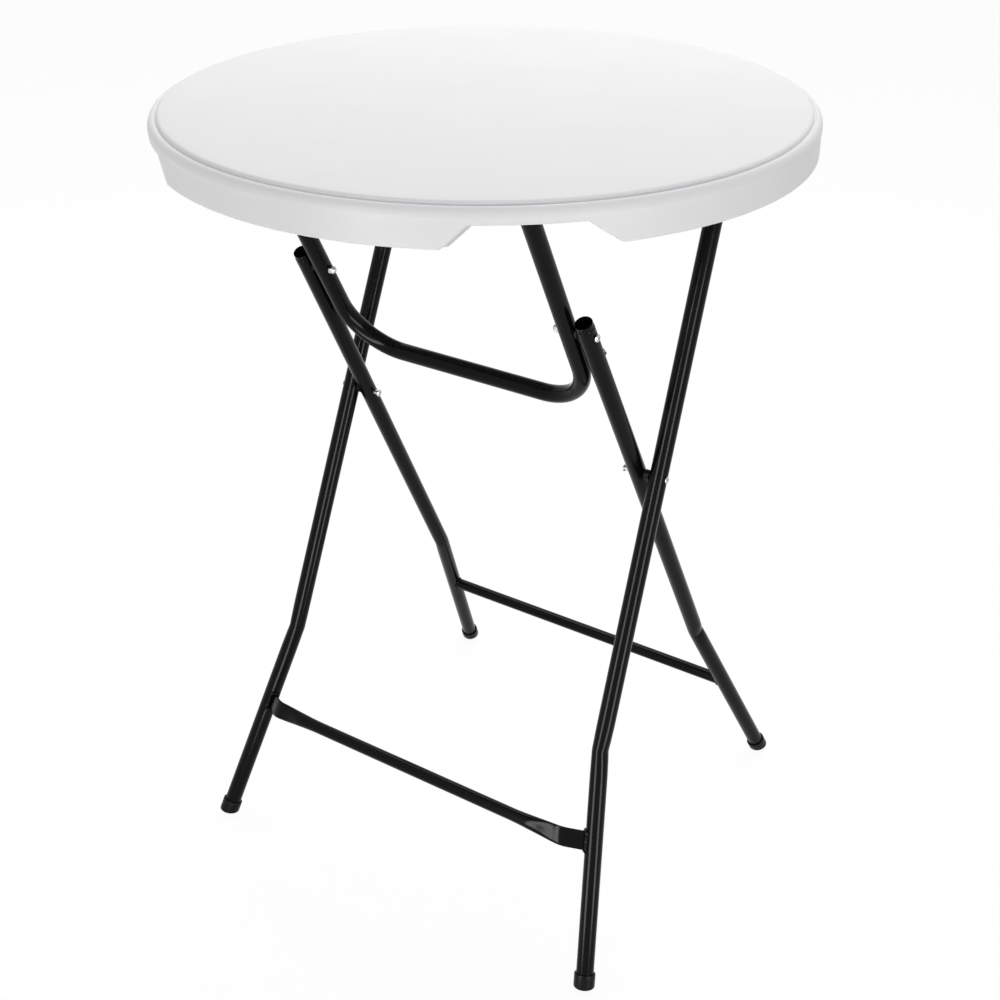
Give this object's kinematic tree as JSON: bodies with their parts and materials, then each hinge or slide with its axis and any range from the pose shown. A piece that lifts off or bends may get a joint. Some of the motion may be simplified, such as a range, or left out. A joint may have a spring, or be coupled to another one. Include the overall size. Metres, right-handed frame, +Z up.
{
  "type": "folding garden table",
  "caption": "Tall round garden table with a moulded top on crossing tube legs that fold flat under it.",
  "frame": {"origin": "on the floor, under the centre of the round top", "axes": "+Z up; -Y is the front, the side that the frames fold towards; X runs along the hinge axes"},
  "size_m": [0.7999, 0.8, 1.1],
  "materials": {
    "moulded_hdpe": "satin moulded",
    "coated_steel": "semi-gloss powder coat",
    "zinc_plated_steel": "bright zinc",
    "cap_rubber": "matt",
    "nylon": "matt"
  },
  "bodies": {
    "top": {"table_top": "moulded_hdpe", "outer_bracket_left": "coated_steel", "outer_bracket_right": "coated_steel", "hoop_bracket_left": "coated_steel", "hoop_bracket_right": "coated_steel", "bracket_screws": "zinc_plated_steel", "outer_pivot_bolt_left": "zinc_plated_steel", "outer_pivot_bolt_right": "zinc_plated_steel", "outer_pivot_nut_left": "zinc_plated_steel", "outer_pivot_nut_right": "zinc_plated_steel", "hoop_pivot_bolt_left": "zinc_plated_steel", "hoop_pivot_bolt_right": "zinc_plated_steel", "hoop_pivot_nut_left": "zinc_plated_steel", "hoop_pivot_nut_right": "zinc_plated_steel"},
    "outer_frame": {"outer_leg_left": "coated_steel", "outer_leg_right": "coated_steel", "outer_crossbar": "coated_steel", "outer_foot_left": "cap_rubber", "outer_foot_right": "cap_rubber", "cross_stud_left": "zinc_plated_steel", "cross_stud_right": "zinc_plated_steel", "cross_nut_left": "zinc_plated_steel", "cross_nut_right": "zinc_plated_steel", "cross_washer_outer_left": "nylon", "cross_washer_outer_right": "nylon"},
    "hoop": {"support_hoop": "coated_steel", "hinge_bolt_left": "zinc_plated_steel", "hinge_bolt_right": "zinc_plated_steel", "hinge_nut_left": "zinc_plated_steel", "hinge_nut_right": "zinc_plated_steel", "hinge_washer_left": "nylon", "hinge_washer_right": "nylon"},
    "inner_frame": {"inner_leg_left": "coated_steel", "inner_leg_right": "coated_steel", "inner_crossbar": "coated_steel", "inner_foot_left": "cap_rubber", "inner_foot_right": "cap_rubber", "cross_bolt_left": "zinc_plated_steel", "cross_bolt_right": "zinc_plated_steel", "cross_washer_inner_left": "nylon", "cross_washer_inner_right": "nylon", "leg_screw_left": "zinc_plated_steel", "leg_screw_right": "zinc_plated_steel"}
  },
  "joints": [
    {"name": "outer_fold", "type": "hinge", "parent": "top", "child": "outer_frame", "pos_m": [0, 0.19694, 1.06], "axis": [-1, 0, 0], "range_deg": [0, 67.78]},
    {"name": "hoop_fold", "type": "hinge", "parent": "top", "child": "hoop", "pos_m": [0, -0.19694, 1.06], "axis": [1, 0, 0], "range_deg": [0, 61.57]},
    {"name": "inner_fold", "type": "hinge", "parent": "hoop", "child": "inner_frame", "pos_m": [0, -0.09754, 0.87643], "axis": [-1, 0, 0], "range_deg": [0, 180]}
  ],
  "couplings": [
    {"joint": "hoop_fold", "follows": "outer_fold", "ratio": 0.90829},
    {"joint": "inner_fold", "follows": "outer_fold", "ratio": 2.6555}
  ]
}
